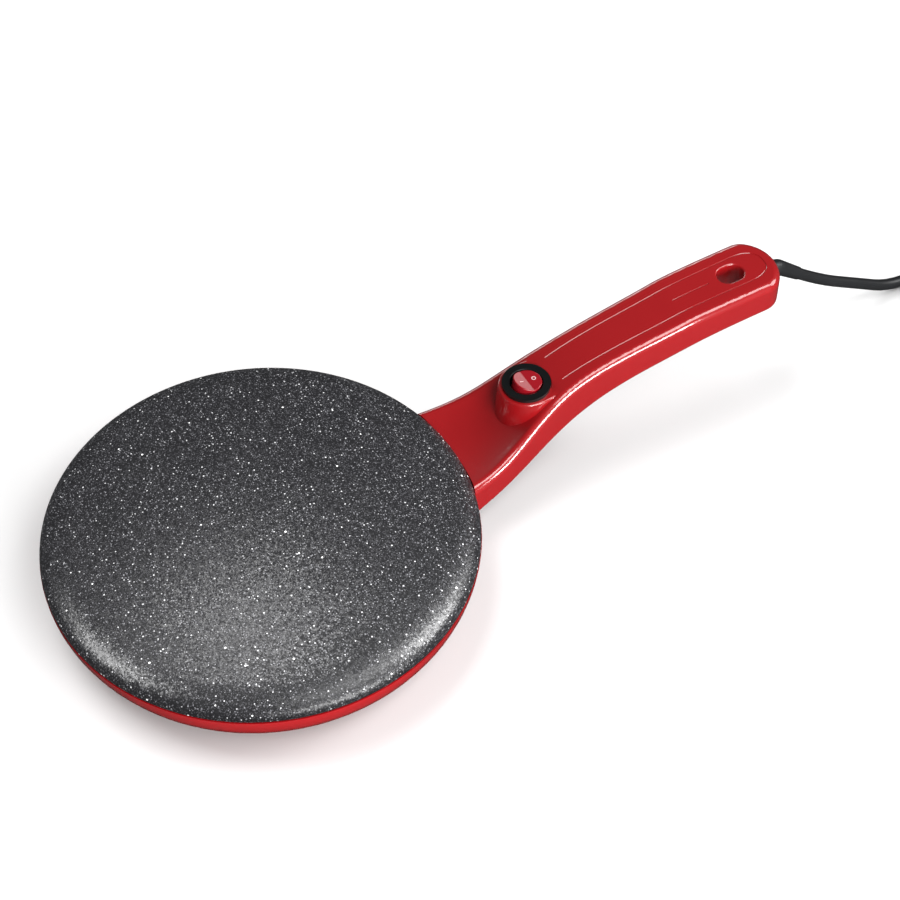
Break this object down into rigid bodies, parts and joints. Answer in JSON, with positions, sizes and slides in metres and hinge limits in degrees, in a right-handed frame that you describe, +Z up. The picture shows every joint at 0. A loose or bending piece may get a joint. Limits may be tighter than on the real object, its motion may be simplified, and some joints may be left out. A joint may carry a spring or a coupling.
{
  "type": "electric crepe maker",
  "caption": "Hand-held electric crepe maker: a domed non-stick plate on a round shell, with a moulded handle, a rocker switch and a mains lead.",
  "frame": {"origin": "on the surface it stands on, under the middle of the object's length, without the free lead", "axes": "+X along the handle from the plate to the tip, +Y to the side, +Z up"},
  "size_m": [0.5526, 0.2419, 0.068],
  "materials": {
    "plate_coating": "semi-matt non-stick coating, dark grey with pale specks",
    "red_plastic": "glossy moulded plastic",
    "black_plastic": "satin moulded plastic",
    "red_rocker": "glossy translucent plastic",
    "foot_rubber": "matt rubber",
    "cord_rubber": "smooth black PVC sheath",
    "plug_plastic": "moulded black plug",
    "element_steel": "tubular sheath",
    "zinc_steel": "zinc plated steel",
    "aluminium": "plain pressed sheet",
    "nickel": "nickel plated brass",
    "brass": "plain brass",
    "ceramic": "fired ceramic",
    "glass_sleeve": "varnished glass-fibre sleeve",
    "lamp_glass": "neon lamp glass",
    "live_brown": "PVC insulation",
    "neutral_blue": "PVC insulation",
    "earth_green": "green and yellow insulation",
    "heat_lead": "silicone insulation"
  },
  "bodies": {
    "root": {"cooking_plate": "plate_coating", "heating_element": "element_steel", "element_seals": "ceramic", "element_tabs": "nickel", "thermostat_cap": "aluminium", "thermostat_body": "ceramic", "thermostat_tabs": "nickel", "thermostat_bracket": "zinc_steel", "thermostat_screws": "zinc_steel", "thermal_fuse": "nickel", "fuse_sleeve": "glass_sleeve", "fuse_clip": "zinc_steel", "fuse_clip_screw": "zinc_steel", "earth_ring": "nickel", "earth_screw": "zinc_steel", "heat_shield": "aluminium", "plate_spacers": "zinc_steel", "plate_screws": "zinc_steel", "base_shell": "red_plastic", "rubber_feet": "foot_rubber", "handle_cover": "red_plastic", "cover_screws": "zinc_steel", "switch_body": "black_plastic", "switch_terminals": "brass", "spade_receptacles": "nickel", "strain_relief": "cord_rubber", "lead_sheath": "cord_rubber", "cord_clamp": "black_plastic", "clamp_screws": "zinc_steel", "live_lead": "live_brown", "neutral_lead": "neutral_blue", "earth_lead": "earth_green", "switched_lead": "heat_lead", "lamp_lead": "heat_lead", "fuse_leads": "heat_lead", "power_cord": "cord_rubber", "cord_coil": "cord_rubber", "cord_tail": "cord_rubber", "plug_body": "plug_plastic", "plug_pins": "nickel"},
    "rocker": {"switch_rocker": "red_rocker", "switch_plunger": "black_plastic", "switch_spring": "zinc_steel", "switch_lamp": "lamp_glass"},
    "contact": {"switch_contact": "brass"}
  },
  "joints": [
    {"name": "rocker_tilt", "type": "hinge", "parent": "root", "child": "rocker", "pos_m": [0.0509, 0, 0.053], "axis": [0, -1, 0], "range_deg": [0, 22]},
    {"name": "contact_tilt", "type": "hinge", "parent": "root", "child": "contact", "pos_m": [0.0509, 0, 0.0458], "axis": [0, -1, 0], "range_deg": [-16, 0]}
  ],
  "couplings": [
    {"joint": "contact_tilt", "follows": "rocker_tilt", "ratio": -0.7272}
  ]
}
